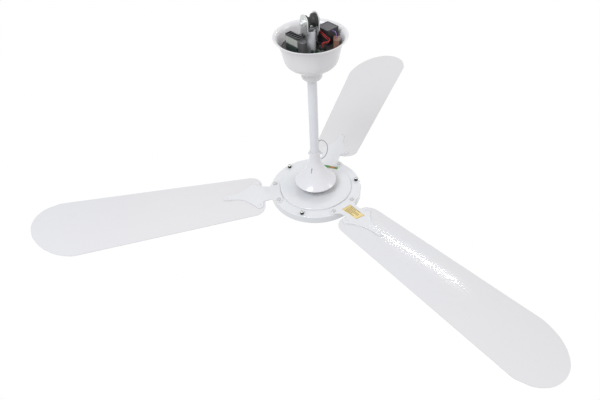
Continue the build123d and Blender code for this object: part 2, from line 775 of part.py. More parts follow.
def make_canopy():
    """Bowl with a rolled rim and a cup round the rod."""
    outer = canopy_profile()
    inner = offset_points(outer, canopy_wall)
    hole = rod_radius + canopy_rod_clearance
    cup, corner = canopy_cup_radius, canopy_cup_corner
    crease = canopy_crease
    arc_start = (cup, canopy_bottom + corner)
    arc_middle = (cup - corner * 0.293, canopy_bottom + corner * 0.293)
    arc_end = (cup - corner, canopy_bottom)
    wall = canopy_wall
    lip = Polyline(outer[0], (canopy_rim_radius, canopy_rim_level - canopy_lip_radius * 0.6),
                   (canopy_rim_radius, canopy_rim_level),
                   (canopy_rim_radius - canopy_wall, canopy_rim_level), inner[0])
    bowl_inner = [p for p in inner if p[1] > crease[1] + wall]
    edges = [Spline(outer, tangents=[(-1, -0.35), (-1, -0.8)]), Line(crease, (cup, crease[1] - 1.5)),
             Line((cup, crease[1] - 1.5), arc_start), ThreePointArc(arc_start, arc_middle, arc_end),
             Line(arc_end, (hole, canopy_bottom)), Line((hole, canopy_bottom), (hole, canopy_bottom + wall)),
             Line((hole, canopy_bottom + wall), (cup - corner, canopy_bottom + wall)),
             ThreePointArc((cup - corner, canopy_bottom + wall),
                           (arc_middle[0] - wall * 0.707, arc_middle[1] + wall * 0.707),
                           (cup - wall, canopy_bottom + corner)),
             Line((cup - wall, canopy_bottom + corner), (cup - wall, bowl_inner[-1][1] - wall)),
             Line((cup - wall, bowl_inner[-1][1] - wall), bowl_inner[-1]),
             Spline(bowl_inner[::-1])] + lip.edges()
    canopy = spun(edges)
    return canopy - grub_hole()


def grub_hole():
    """Threaded hole for the grub screw at the back of the cup."""
    middle = canopy_bottom + canopy_wall + collar_height / 2
    return Pos(0, canopy_cup_radius / 2 + rod_radius, middle) * Rot(90, 0, 0) * Cylinder(
        grub_screw_radius, 2 * canopy_cup_radius)


def make_collar():
    """Bush in the cup that the grub screw goes through."""
    bottom = canopy_bottom + canopy_wall
    ring = tube(canopy_cup_radius - canopy_cup_corner, rod_radius + canopy_rod_clearance, bottom,
                bottom + collar_height)
    return ring - grub_hole()


def make_grub_screw():
    middle = canopy_bottom + canopy_wall + collar_height / 2
    start = rod_radius + 0.1
    end = canopy_cup_radius + grub_screw_stand
    bar = Pos(0, (start + end) / 2, middle) * Rot(90, 0, 0) * Cylinder(grub_screw_radius, end - start)
    slot = Pos(0, end, middle) * Box(0.9, 2.4, 2 * grub_screw_radius + 1)
    return bar - slot


def in_tray(shape):
    """Turn a piece of the electronics into place."""
    return Rot(0, 0, tray_turn) * shape


def make_tray():
    """Disc wedged in the bowl that carries the electronics."""
    bottom = tray_level - tray_thickness
    edge = canopy_inner_radius(bottom) - tray_edge_gap
    return tube(edge, tray_hole_radius, bottom, tray_level)


def make_driver():
    """Sealed driver box with its potted lid."""
    width, depth, height = driver_size
    box = block(driver_size, driver_place, tray_level, 1.5)
    lid_size = (width - 2 * driver_lid_inset, depth - 2 * driver_lid_inset, driver_lid_height)
    recess = block(lid_size, driver_place, tray_level + height - driver_lid_height, 1.0)
    lid = block((lid_size[0] - 0.1, lid_size[1] - 0.1, driver_lid_height - 0.5), driver_place,
                tray_level + height - driver_lid_height, 1.0)
    return in_tray(box - recess), in_tray(lid)


def make_supply():
    return in_tray(block(supply_size, supply_place, tray_level, 1.0))


def make_module():
    """Receiver housing with a slotted frame on top."""
    bottom = tray_level + supply_size[2]
    body = block(module_size, module_place, bottom, 1.0)
    top = bottom + module_size[2]
    frame = block((module_size[0], module_size[1], module_frame_height), module_place, top, 1.0)
    wall = module_frame_wall
    pitch = (module_size[1] - wall) / module_slots
    for i in range(module_slots):
        y = module_place[1] - module_size[1] / 2 + wall / 2 + pitch * (i + 0.5)
        frame = frame - block((module_size[0] - 2 * wall, pitch - wall, module_frame_height + 1),
                              (module_place[0], y), top)
    return in_tray(body), in_tray(frame)


def make_module_cap():
    """Rounded metal can at the end of the receiver."""
    y = module_place[1] - module_size[1] / 2 - module_cap_radius
    height = supply_size[2] + module_size[2] - module_cap_drop
    can = Pos(module_place[0], y, tray_level) * extrude(Circle(module_cap_radius), height)
    web = block((2 * module_cap_radius, module_cap_radius, height), (module_place[0], y + module_cap_radius / 2),
                tray_level)
    body = can + web
    return in_tray(fillet(body.edges().group_by(Axis.Z)[-1].filter_by(GeomType.CIRCLE), 1.5))


def make_module_label():
    """Plain plate on the receiver's outer side."""
    x = module_place[0] - module_size[0] / 2 - label_thickness / 2
    z = tray_level + supply_size[2] + module_size[2] / 2
    plate = Pos(x, module_place[1], z) * Box(label_thickness, label_size[0], label_size[1])
    return in_tray(plate)


def make_capacitor():
    """Film capacitor with its moulded foot."""
    foot_size = (capacitor_size[0] - 2 * capacitor_foot_inset,
                 capacitor_size[1] - 2 * capacitor_foot_inset, capacitor_foot_height)
    foot = block(foot_size, (capacitor_radius, 0), tray_level)
    body = block(capacitor_size, (capacitor_radius, 0), tray_level + capacitor_foot_height, 2.0)
    return in_tray(Rot(0, 0, capacitor_angle) * (foot + body))


def board_sector(inner, outer):
    """Flat sector for the circuit board, between two radii."""
    start, end = math.radians(board_start), math.radians(board_start + board_sweep)
    middle = (start + end) / 2

    def at(radius, angle):
        return (radius * math.cos(angle), radius * math.sin(angle))

    edges = [ThreePointArc(at(outer, start), at(outer, middle), at(outer, end)),
             Line(at(outer, end), at(inner, end)),
             ThreePointArc(at(inner, end), at(inner, middle), at(inner, start)),
             Line(at(inner, start), at(outer, start))]
    return make_face(edges)


def make_board():
    return in_tray(Pos(0, 0, tray_level + board_lift) * extrude(
        board_sector(board_inner_radius, board_outer_radius), board_thickness))


def board_angles(count):
    """Angles spread evenly over the board, clear of its ends."""
    margin = 6.0
    span = board_sweep - 2 * margin
    return [board_start + margin + span * i / (count - 1) for i in range(count)]


def make_standoffs():
    """Short pillars between the tray and the board."""
    pillar = tube(standoff_radius, 0, tray_level, tray_level + board_lift)
    radii = (board_outer_radius - 5.0, board_inner_radius + 5.0, board_outer_radius - 5.0)
    return [in_tray(polar(r, a) * pillar) for r, a in zip(radii, board_angles(3))]


def make_board_components():
    """Small cans and blocks soldered on the board."""
    top = tray_level + board_lift + board_thickness
    can = tube(3.2, 0, top, top + 7.5)
    chip = block((7.0, 4.5, 1.8), (0, 0), top)
    coil = tube(3.6, 1.6, top, top + 3.2)
    angles = board_angles(5)
    kinds = [can, coil, chip, coil, can]
    radii = (48.0, 33.0, 46.0, 34.0, 48.0)
    return [in_tray(polar(r, a) * Rot(0, 0, a) * k) for r, a, k in zip(radii, angles, kinds)]


def make_terminal():
    """Terminal block on the tray that the red wires end in."""
    return in_tray(Rot(0, 0, terminal_angle) * block(terminal_size, (terminal_radius, 0), tray_level, 0.5))


def cord_tube(points, diameter, label):
    """Round cord along straight runs joined by arcs as large as the runs allow."""
    vectors = [Vector(*p) for p in points]
    runs = [(b - a).length for a, b in zip(vectors, vectors[1:])]
    radii = []
    for i in range(1, len(vectors) - 1):
        turn = (vectors[i] - vectors[i - 1]).get_angle(vectors[i + 1] - vectors[i])
        shorter = min(runs[i - 1], runs[i])
        radii.append(0.45 * shorter / math.tan(math.radians(turn) / 2))
    path = FilletPolyline(*vectors, radius=radii)
    section = Plane(origin=vectors[0], z_dir=vectors[1] - vectors[0]) * Circle(diameter / 2)
    cord = sweep(section, path=path)
    ideal = math.pi * diameter ** 2 / 4 * path.length
    print(label, "radii", [round(r, 1) for r in radii], "length", round(path.length, 1),
          "volume ratio", round(cord.volume / ideal, 4))
    return cord


def turned(points):
    """Route points turned with the tray."""
    spots = [in_tray(Pos(*p)).position for p in points]
    return [(round(p.X, 3), round(p.Y, 3), round(p.Z, 3)) for p in spots]


def red_routes():
    """Two supply wires from the tray, past the driver box, down into the terminal block."""
    face = driver_place[0] - driver_size[0] / 2
    back = driver_place[1] + driver_size[1] / 2
    end_z = tray_level + terminal_size[2] + wire_end_gap
    middle = polar(terminal_radius, terminal_angle).position
    across_x = -math.sin(math.radians(terminal_angle)) * terminal_pitch
    across_y = math.cos(math.radians(terminal_angle)) * terminal_pitch
    upper = [(face + 10.0, back + 14.2, tray_level), (face + 10.0, back + 14.2, -34.0),
             (face - 2.2, back - 1.3, -26.5), (face - 3.6, back - 18.0, -27.5),
             (face - 2.6, back - 32.0, -34.0), (face + 1.0, back - 38.5, -38.0),
             (face - 5.5, back - 43.5, -39.0),
             (middle.X - across_x, middle.Y - across_y, end_z + 10.2),
             (middle.X - across_x, middle.Y - across_y, end_z)]
    lower = [(face + 7.4, back + 13.1, tray_level), (face + 7.4, back + 13.1, -37.0),
             (face - 2.3, back - 1.3, -30.0), (face - 3.8, back - 18.0, -31.0),
             (face - 3.0, back - 31.0, -38.0), (face - 0.2, back - 37.0, -42.0),
             (face - 6.0, back - 41.0, -43.0),
             (middle.X + across_x, middle.Y + across_y, end_z + 7.4),
             (middle.X + across_x, middle.Y + across_y, end_z)]
    return turned(upper), turned(lower)


def purple_route():
    """Short lead from the capacitor's top to the front of the driver box."""
    x = driver_place[0] - 3.2
    front = driver_place[1] - driver_size[1] / 2
    top = tray_level + capacitor_foot_height + capacitor_size[2]
    return turned([(x, front - 12.0, top), (x, front - 12.0, top + 12.0), (x, front, top + 12.0)])


# Lower cover

def make_lower_cover():
    """Trumpet that hides the coupling, thick where its two screws grip the rod."""
    outer = cover_points
    inner = offset_points(outer, cover_sheet)
    hole = rod_radius + cover_rod_clearance
    top = outer[0][1]
    grip = top - cover_grip_height
    rim_r, rim_z = outer[-1]
    inner = [p for p in inner if p[1] < grip - 2.0]
    edges = [Spline(outer, tangents=[(0, -1), (1, -0.95)]),
             Line(outer[-1], (rim_r, rim_z - cover_rim_fold)),
             Line((rim_r, rim_z - cover_rim_fold), (rim_r - cover_sheet, rim_z - cover_rim_fold)),
             Line((rim_r - cover_sheet, rim_z - cover_rim_fold), inner[-1]),
             Spline(inner[::-1]), Line(inner[0], (hole, grip)),
             Line((hole, grip), (hole, top)), Line((hole, top), outer[0])]
    cover = spun(edges)
    slot = Rot(0, 0, slot_angle) * Pos(20, 0, slot_level) * Box(14, slot_width, slot_length)
    holes = Rot(0, 0, cover_screw_turn()) * across(cover_screw_radius, -20, 20, 0, cover_screw_level)
    return cover - slot - holes


def cover_screw_turn():
    """The two screws sit either side of the rod as seen from the front."""
    return -29.0


def make_cover_screws():
    start = rod_radius + 0.1
    end = cover_points[0][0] + cover_screw_reach
    bar = across(cover_screw_radius, start, end, 0, cover_screw_level)
    head = across(cover_screw_head, cover_points[0][0] + 0.25, end, 0, cover_screw_level)
    screw = Rot(0, 0, cover_screw_turn()) * (bar + head)
    return [screw, Rot(0, 0, 180) * screw]


def loop_points():
    """Wire loop beside the rod, from the cover's top edge to its side."""
    turn = Rot(0, 0, -29.0)
    route = [(6.6, 9.9, 112.2), (7.0, 10.4, 121.0), (9.5, 10.6, 130.5), (16.5, 8.6, 138.0),
             (25.0, 5.0, 135.5), (30.5, 2.5, 127.0), (31.5, 1.0, 115.5), (29.0, 0.2, 103.5),
             (24.0, 0.0, 93.5), (16.0, 0.0, 86.8)]
    placed = []
    for u, w, z in route:
        spot = (turn * Pos(u, w, z + flange_level)).position
        placed.append((round(spot.X, 3), round(spot.Y, 3), round(spot.Z, 3)))
    return placed


def build():
    os.makedirs("parts", exist_ok=True)
    lift = Pos(0, 0, flange_level)

    save("shackle", make_shackle())
    save("down_rod", make_rod())
    save("reel", make_reel())
    bolt, nut, washers = reel_bolt_set()
    save("reel_bolt", bolt)
    save("reel_nut", nut)
    save("reel_washers", *washers)
    bolt, nut = tie_bolt_set()
    save("tie_bolt", bolt)
    save("tie_nut", nut)
    bolt, nut, pin = coupling_set()
    save("coupling_bolt", bolt)
    save("coupling_nut", nut)
    save("coupling_split_pin", pin)

    save("motor_shaft", lift * make_shaft())
    save("shaft_circlip", lift * make_circlip())
    save("stator_core", lift * make_core())
    save("stator_windings", *[lift * c for c in make_windings()])
    tops = {"upper": raised_disc_height - cover_wall, "lower": lower_bearing_top}
    for name, top in tops.items():
        inner, outer, balls = make_bearing(top)
        save(f"{name}_bearing_inner_ring", lift * inner)
        save(f"{name}_bearing_outer_ring", lift * outer)
        save(f"{name}_bearing_balls", *[lift * b for b in balls])

    save("motor_top_cover", lift * make_top_cover())
    save("motor_bottom_cover", lift * make_bottom_cover())
    save("motor_bottom_cap", lift * make_bottom_cap())
    save("rotor_ring", lift * make_rotor_ring())
    save("rotor_magnets", *[lift * m for m in make_magnets()])

    blade, iron = make_blade(), make_iron()
    rivets, screws, washers, bolts = [], [], [], []
    washer = tube(washer_radius, screw_radius + hole_clearance, iron_thickness,
                  iron_thickness + washer_thickness)
    for i in range(blade_count):
        turn = lift * Rot(0, 0, blade_angle + 360.0 * i / blade_count)
        save(f"blade_{i + 1}", turn * blade)
        save(f"blade_iron_{i + 1}", turn * iron)
        rivets += [turn * make_rivet(place) for place in rivet_places()]
        screws += [turn * place * make_iron_screw() for place in screw_places()]
        washers += [turn * place * washer for place in screw_places()]
        bolts.append(turn * polar(flange_circle_radius, 180.0 / blade_count) * make_cover_bolt())
    save("blade_rivets", *rivets)
    save("iron_screws", *screws)
    save("iron_washers", *washers)
    save("cover_bolts", *bolts)

    save("lower_cover", lift * make_lower_cover())
    save("lower_cover_screws", *[lift * s for s in make_cover_screws()])
    save("loop_wire", cord_tube(loop_points(), loop_wire_diameter, "loop_wire"))

    save("canopy", make_canopy())
    save("canopy_collar", make_collar())
    save("canopy_grub_screw", make_grub_screw())
    save("electronics_tray", make_tray())
    box, lid = make_driver()
    save("driver_box", box)
    save("driver_lid", lid)
    save("supply_block", make_supply())
    body, frame = make_module()
    save("receiver_module", body)
    save("receiver_frame", frame)
    save("receiver_can", make_module_cap())
    save("receiver_label", make_module_label())
    save("film_capacitor", make_capacitor())
    save("circuit_board", make_board())
    save("board_standoffs", *make_standoffs())
    save("board_components", *make_board_components())
    save("terminal_block", make_terminal())
    save("red_wires", *[cord_tube(r, wire_diameter, "red_wires") for r in red_routes()])
    save("purple_wire", cord_tube(purple_route(), wire_diameter, "purple_wire"))


build()
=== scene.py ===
import math

import bpy
import numpy as np
from mathutils import Matrix, Vector


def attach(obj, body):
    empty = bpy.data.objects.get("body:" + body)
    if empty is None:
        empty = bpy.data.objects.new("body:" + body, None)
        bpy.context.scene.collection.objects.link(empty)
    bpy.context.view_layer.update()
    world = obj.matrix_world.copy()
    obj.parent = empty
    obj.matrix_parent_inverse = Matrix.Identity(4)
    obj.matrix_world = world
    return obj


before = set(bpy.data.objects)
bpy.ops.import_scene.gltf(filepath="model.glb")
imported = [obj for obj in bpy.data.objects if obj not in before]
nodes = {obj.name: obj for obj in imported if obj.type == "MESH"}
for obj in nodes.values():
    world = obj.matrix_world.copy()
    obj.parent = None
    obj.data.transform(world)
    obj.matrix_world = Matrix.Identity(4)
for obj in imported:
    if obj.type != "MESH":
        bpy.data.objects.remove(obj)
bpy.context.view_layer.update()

# Measures shared by the pieces, in metres
FLANGE = -0.440
IRON = 0.0025
NECK_START = 0.115
LEAF_START = 0.131
DISC_TOP = 0.0055
# Heights on the cover bolts where painted shade on their sides gives way to the bright top
BOLT_PAINTED_SHADE_TOP = 0.0070
BOLT_PAINTED_SHADE_END = 0.0079
LABEL_SHEET = 0.0002
FLOOR_LEVEL = -1.6
FLOOR_REACH = 12.0

# Turns of the blades about the rod, in degrees
BLADE_TURNS = (39.0, 159.0, 279.0)

# Camera: its place in metres, its angles in degrees, its film and lens in millimetres
CAMERA_PLACE = (-0.5681, -0.9429, 0.5270)
HEADING, PITCH, ROLL = 61.11, 42.562, -3.542
SENSOR_WIDTH, LENS = 36.0, 35.0


# Camera

def make_camera():
    """Camera at the photograph's place: right, up and back directions from three angles."""
    heading, pitch, roll = math.radians(HEADING), math.radians(PITCH), math.radians(ROLL)
    look = Vector((math.cos(pitch) * math.cos(heading), math.cos(pitch) * math.sin(heading),
                   -math.sin(pitch)))
    right = Vector((math.sin(heading), -math.cos(heading), 0.0))
    up = right.cross(look)
    side = math.cos(roll) * right + math.sin(roll) * up
    top = -math.sin(roll) * right + math.cos(roll) * up
    data = bpy.data.cameras.new("camera")
    data.sensor_fit = "HORIZONTAL"
    data.sensor_width = SENSOR_WIDTH
    data.lens = LENS
    data.clip_start = 0.05
    camera = bpy.data.objects.new("camera", data)
    bpy.context.collection.objects.link(camera)
    turn = Matrix((side, top, -look)).transposed().to_4x4()
    camera.matrix_world = Matrix.Translation(CAMERA_PLACE) @ turn
    bpy.context.scene.camera = camera


make_camera()


# Materials

def new_material(name):
    """Node material as Blender starts it, with its nodes and links."""
    material = bpy.data.materials.new(name)
    material.use_nodes = True
    return material, material.node_tree.nodes, material.node_tree.links


def surface_group():
    """Slow tint, roughness and height changes over a surface, from noise on Object coordinates."""
    group = bpy.data.node_groups.new("surface_changes", "ShaderNodeTree")
    face = group.interface
    for label, kind in (("Colour", "NodeSocketColor"), ("Tint", "NodeSocketColor"),
                        ("Scale", "NodeSocketFloat"), ("Grain", "NodeSocketFloat"),
                        ("Tint Share", "NodeSocketFloat"), ("Rough Low", "NodeSocketFloat"),
                        ("Rough High", "NodeSocketFloat")):
        face.new_socket(name=label, in_out="INPUT", socket_type=kind)
    for label, kind in (("Colour", "NodeSocketColor"), ("Roughness", "NodeSocketFloat"),
                        ("Height", "NodeSocketFloat")):
        face.new_socket(name=label, in_out="OUTPUT", socket_type=kind)
    n, link = group.nodes, group.links.new
    start, end = n.new("NodeGroupInput"), n.new("NodeGroupOutput")
    place = n.new("ShaderNodeTexCoord")
    slow, fine = n.new("ShaderNodeTexNoise"), n.new("ShaderNodeTexNoise")
    slow.inputs["Detail"].default_value = 4.0
    fine.inputs["Detail"].default_value = 2.0
    link(place.outputs["Object"], slow.inputs["Vector"])
    link(place.outputs["Object"], fine.inputs["Vector"])
    link(start.outputs["Scale"], slow.inputs["Scale"])
    link(start.outputs["Grain"], fine.inputs["Scale"])
    share = n.new("ShaderNodeMath")
    share.operation = "MULTIPLY"
    link(slow.outputs["Fac"], share.inputs[0])
    link(start.outputs["Tint Share"], share.inputs[1])
    mix = n.new("ShaderNodeMix")
    mix.data_type = "RGBA"
    link(share.outputs[0], mix.inputs["Factor"])
    link(start.outputs["Colour"], mix.inputs["A"])
    link(start.outputs["Tint"], mix.inputs["B"])
    link(mix.outputs["Result"], end.inputs["Colour"])
    rough = n.new("ShaderNodeMapRange")
    rough.inputs["From Min"].default_value = 0.3
    rough.inputs["From Max"].default_value = 0.7
    link(slow.outputs["Fac"], rough.inputs["Value"])
    link(start.outputs["Rough Low"], rough.inputs["To Min"])
    link(start.outputs["Rough High"], rough.inputs["To Max"])
    link(rough.outputs["Result"], end.inputs["Roughness"])
    link(fine.outputs["Fac"], end.inputs["Height"])
    return group


SURFACE = surface_group()
COAT_ROUGH = 0.05
GRAIN_HEIGHT = 0.0005


def finish(name, colour, tint, rough, scale, bump, grain=900.0, share=0.6, metallic=0.0, coat=0.0):
    """Material with a colour that drifts to a tint, a roughness range and a fine grain."""
    material, n, links = new_material(name)
    shader = n["Principled BSDF"]
    group = n.new("ShaderNodeGroup")
    group.node_tree = SURFACE
    values = {"Colour": (*colour, 1), "Tint": (*tint, 1), "Scale": scale, "Grain": grain,
              "Tint Share": share, "Rough Low": rough[0], "Rough High": rough[1]}
    for label, value in values.items():
        group.inputs[label].default_value = value
    height = n.new("ShaderNodeBump")
    height.inputs["Strength"].default_value = bump
    height.inputs["Distance"].default_value = GRAIN_HEIGHT
    links.new(group.outputs["Colour"], shader.inputs["Base Color"])
    links.new(group.outputs["Roughness"], shader.inputs["Roughness"])
    links.new(group.outputs["Height"], height.inputs["Height"])
    links.new(height.outputs["Normal"], shader.inputs["Normal"])
    shader.inputs["Metallic"].default_value = metallic
    shader.inputs["Coat Weight"].default_value = coat
    shader.inputs["Coat Roughness"].default_value = COAT_ROUGH
    return material


# Printed bars on the labels, as shares of a row's height and of the label's length
BAR_GAP = 0.52
BAR_START = 0.10
BAR_SHORTEST, BAR_SPREAD = 0.5, 0.4
BAR_INK = 0.75
INK = (0.16, 0.10, 0.03, 1)


def sticker_material(name, ramp, paper_rough, bars):
    """Printed foil on the piece's own UV map: bands of colour, with rows of plain dark bars."""
    material, n, links = new_material(name)
    shader = n["Principled BSDF"]
    uv = n.new("ShaderNodeUVMap")
    uv.uv_map = "flat"
    split = n.new("ShaderNodeSeparateXYZ")
    links.new(uv.outputs["UV"], split.inputs["Vector"])
    bands = n.new("ShaderNodeValToRGB")
    bands.color_ramp.interpolation = "CONSTANT"
    while len(bands.color_ramp.elements) < len(ramp):
        bands.color_ramp.elements.new(0.5)
    for element, (place, colour) in zip(bands.color_ramp.elements, ramp):
        element.position = place
        element.color = (*colour, 1)
    links.new(split.outputs["X"], bands.inputs["Fac"])

    def math_node(kind, first, second=0.0):
        node = n.new("ShaderNodeMath")
        node.operation = kind
        for socket, value in zip(node.inputs, (first, second)):
            if isinstance(value, float):
                socket.default_value = value
            else:
                links.new(value, socket)
        return node.outputs[0]

    rows = math_node("MULTIPLY", split.outputs["Y"], float(bars))
    inside = math_node("GREATER_THAN", math_node("FRACT", rows), BAR_GAP)
    random = n.new("ShaderNodeTexWhiteNoise")
    random.noise_dimensions = "1D"
    links.new(math_node("FLOOR", rows), random.inputs["W"])
    far = math_node("ADD", math_node("MULTIPLY", random.outputs["Value"], BAR_SPREAD), BAR_SHORTEST)
    left = math_node("GREATER_THAN", split.outputs["X"], BAR_START)
    right = math_node("LESS_THAN", split.outputs["X"], far)
    bar = math_node("MULTIPLY", math_node("MULTIPLY", inside, left), right)
    mix = n.new("ShaderNodeMix")
    mix.data_type = "RGBA"
    links.new(math_node("MULTIPLY", bar, BAR_INK), mix.inputs["Factor"])
    links.new(bands.outputs["Color"], mix.inputs["A"])
    mix.inputs["B"].default_value = INK
    links.new(mix.outputs["Result"], shader.inputs["Base Color"])
    place = n.new("ShaderNodeTexCoord")
    noise = n.new("ShaderNodeTexNoise")
    noise.inputs["Scale"].default_value = 120.0
    links.new(place.outputs["Object"], noise.inputs["Vector"])
    rough = n.new("ShaderNodeMapRange")
    rough.inputs["To Min"].default_value = paper_rough[0]
    rough.inputs["To Max"].default_value = paper_rough[1]
    links.new(noise.outputs["Fac"], rough.inputs["Value"])
    links.new(rough.outputs["Result"], shader.inputs["Roughness"])
    return material


ENAMEL = finish("blade_enamel", (0.75, 0.765, 0.785), (0.79, 0.74, 0.735), (0.12, 0.18), scale=2.2,
                grain=120.0, share=0.9, coat=0.6, bump=0.002)
IRON_ENAMEL = finish("iron_enamel", (0.80, 0.80, 0.81), (0.76, 0.76, 0.77), (0.12, 0.24), scale=25.0,
                     coat=0.4, bump=0.03)
MOTOR_ENAMEL = finish("motor_enamel", (0.80, 0.805, 0.82), (0.77, 0.77, 0.78), (0.12, 0.22), scale=12.0,
                      coat=0.5, bump=0.02)
ROD_ENAMEL = finish("rod_enamel", (0.80, 0.805, 0.83), (0.74, 0.75, 0.78), (0.12, 0.24), scale=18.0,
                    coat=0.3, bump=0.03)
CANOPY_PLASTIC = finish("canopy_plastic", (0.81, 0.80, 0.815), (0.80, 0.76, 0.75), (0.16, 0.26),
                        scale=9.0, coat=0.3, bump=0.015)
COVER_PLASTIC = finish("lower_cover_plastic", (0.82, 0.81, 0.83), (0.78, 0.76, 0.79), (0.14, 0.22),
                       scale=10.0, coat=0.4, bump=0.015)
ZINC = finish("zinc_plate", (0.72, 0.73, 0.73), (0.60, 0.61, 0.60), (0.25, 0.42), scale=60.0,
              metallic=0.8, bump=0.04)
PAINTED_SCREW = finish("painted_screw", (0.74, 0.74, 0.73), (0.55, 0.55, 0.53), (0.20, 0.35),
                       scale=150.0, coat=0.3, bump=0.05)


def bolt_material():
    """Bright metal top with painted shade on the sides, told apart by height on the bolt."""
    material = finish("bright_bolt", (0.80, 0.79, 0.77), (0.60, 0.59, 0.57), (0.15, 0.30),
                      scale=120.0, metallic=0.6, bump=0.05)
    n, links = material.node_tree.nodes, material.node_tree.links
    shader = n["Principled BSDF"]
    place, split = n.new("ShaderNodeTexCoord"), n.new("ShaderNodeSeparateXYZ")
    links.new(place.outputs["Object"], split.inputs["Vector"])
    top = n.new("ShaderNodeMapRange")
    top.inputs["From Min"].default_value = FLANGE + BOLT_PAINTED_SHADE_TOP
    top.inputs["From Max"].default_value = FLANGE + BOLT_PAINTED_SHADE_END
    links.new(split.outputs["Z"], top.inputs["Value"])
    mix = n.new("ShaderNodeMix")
    mix.data_type = "RGBA"
    # Near-black painted shade on the bolt's sides, below the bright top
    mix.inputs["A"].default_value = (0.03, 0.03, 0.03, 1)
    links.new(top.outputs["Result"], mix.inputs["Factor"])
    colour = shader.inputs["Base Color"].links[0].from_socket
    links.new(colour, mix.inputs["B"])
    links.new(mix.outputs["Result"], shader.inputs["Base Color"])
    return material


BOLT_WITH_PAINTED_SHADE = bolt_material()
DARK_SCREW = finish("dark_screw", (0.10, 0.10, 0.105), (0.05, 0.05, 0.05), (0.25, 0.45), scale=150.0,
                    metallic=0.7, bump=0.05)
STEEL = finish("machined_steel", (0.46, 0.46, 0.47), (0.35, 0.35, 0.36), (0.25, 0.40), scale=80.0,
               metallic=1.0, bump=0.05)
COPPER = finish("coil_copper", (0.55, 0.25, 0.12), (0.40, 0.16, 0.07), (0.30, 0.45), scale=200.0,
                metallic=0.8, bump=0.2)
MAGNET = finish("magnet_grey", (0.10, 0.10, 0.11), (0.06, 0.06, 0.065), (0.45, 0.65), scale=90.0,
                bump=0.15)
RUBBER = finish("reel_rubber", (0.018, 0.018, 0.019), (0.05, 0.05, 0.05), (0.40, 0.65), scale=120.0,
                share=0.4, bump=0.25)
BLACK = finish("black_moulding", (0.012, 0.012, 0.016), (0.05, 0.05, 0.055), (0.30, 0.50), scale=90.0,
               share=0.5, bump=0.15)
TRAY = finish("tray_moulding", (0.03, 0.028, 0.03), (0.07, 0.05, 0.045), (0.40, 0.60), scale=60.0,
              bump=0.2)
LID = finish("driver_lid_resin", (0.045, 0.045, 0.055), (0.16, 0.15, 0.16), (0.20, 0.50),
             scale=45.0, share=0.8, bump=0.1)
GREY = finish("receiver_grey", (0.10, 0.10, 0.105), (0.20, 0.19, 0.185), (0.35, 0.55), scale=50.0,
              bump=0.15)
CAN = finish("can_grey", (0.17, 0.17, 0.175), (0.10, 0.10, 0.11), (0.30, 0.45), scale=60.0,
             metallic=0.5, bump=0.1)
LABEL = finish("label_paper", (0.66, 0.66, 0.60), (0.22, 0.26, 0.24), (0.45, 0.60), scale=320.0,
               share=0.9, bump=0.05)
GREEN = finish("supply_green", (0.018, 0.032, 0.028), (0.045, 0.06, 0.055), (0.30, 0.50), scale=110.0,
               bump=0.15)
BOARD = finish("board_green", (0.03, 0.11, 0.07), (0.09, 0.12, 0.05), (0.25, 0.45), scale=240.0,
               share=0.9, bump=0.2)
BROWN = finish("capacitor_brown", (0.24, 0.12, 0.08), (0.34, 0.20, 0.15), (0.20, 0.35), scale=70.0,
               coat=0.3, bump=0.08)
RED = finish("red_insulation", (0.50, 0.025, 0.02), (0.36, 0.02, 0.02), (0.30, 0.45), scale=160.0,
             bump=0.1)
PURPLE = finish("purple_insulation", (0.24, 0.13, 0.42), (0.34, 0.22, 0.50), (0.30, 0.45), scale=160.0,
                bump=0.1)
GREY_WIRE = finish("grey_insulation", (0.42, 0.42, 0.44), (0.32, 0.32, 0.34), (0.30, 0.45),
                   scale=160.0, bump=0.1)
GOLD_FOIL = sticker_material("gold_foil", [(0.0, (0.66, 0.48, 0.14)), (0.04, (0.86, 0.68, 0.30)),
                                           (0.96, (0.66, 0.48, 0.14))], (0.25, 0.45), 6)
STRIP_FOIL = sticker_material("strip_foil", [(0.0, (0.10, 0.36, 0.06)), (0.22, (0.70, 0.28, 0.10)),
                                             (0.48, (0.07, 0.34, 0.07))], (0.30, 0.50), 3)

DRESS = {
    ENAMEL: ("blade_1", "blade_2", "blade_3", "blade_rivets"),
    IRON_ENAMEL: ("blade_iron_1", "blade_iron_2", "blade_iron_3"),
    MOTOR_ENAMEL: ("motor_top_cover", "motor_bottom_cover", "motor_bottom_cap"),
    ROD_ENAMEL: ("down_rod",),
    CANOPY_PLASTIC: ("canopy",),
    COVER_PLASTIC: ("lower_cover",),
    ZINC: ("shackle", "reel_bolt", "reel_nut", "reel_washers", "coupling_bolt", "coupling_nut",
           "coupling_split_pin", "shaft_circlip", "iron_washers", "canopy_grub_screw",
           "canopy_collar"),
    BOLT_WITH_PAINTED_SHADE: ("cover_bolts",),
    DARK_SCREW: ("tie_bolt", "tie_nut"),
    PAINTED_SCREW: ("lower_cover_screws", "iron_screws"),
    STEEL: ("motor_shaft", "rotor_ring", "stator_core", "upper_bearing_inner_ring",
            "lower_bearing_inner_ring", "upper_bearing_outer_ring", "lower_bearing_outer_ring",
            "upper_bearing_balls", "lower_bearing_balls"),
    COPPER: ("stator_windings",),
    MAGNET: ("rotor_magnets",),
    RUBBER: ("reel",),
    BLACK: ("driver_box", "receiver_frame", "terminal_block", "board_standoffs",
            "board_components"),
    TRAY: ("electronics_tray",),
    LID: ("driver_lid",),
    GREY: ("receiver_module",),
    CAN: ("receiver_can",),
    LABEL: ("receiver_label",),
    GREEN: ("supply_block",),
    BOARD: ("circuit_board",),
    BROWN: ("film_capacitor",),
    RED: ("red_wires",),
    PURPLE: ("purple_wire",),
    GREY_WIRE: ("loop_wire",),
}

for material, names in DRESS.items():
    for name in names:
        slots = nodes[name].data.materials
        slots.clear()
        slots.append(material)


# Pieces on the rotor

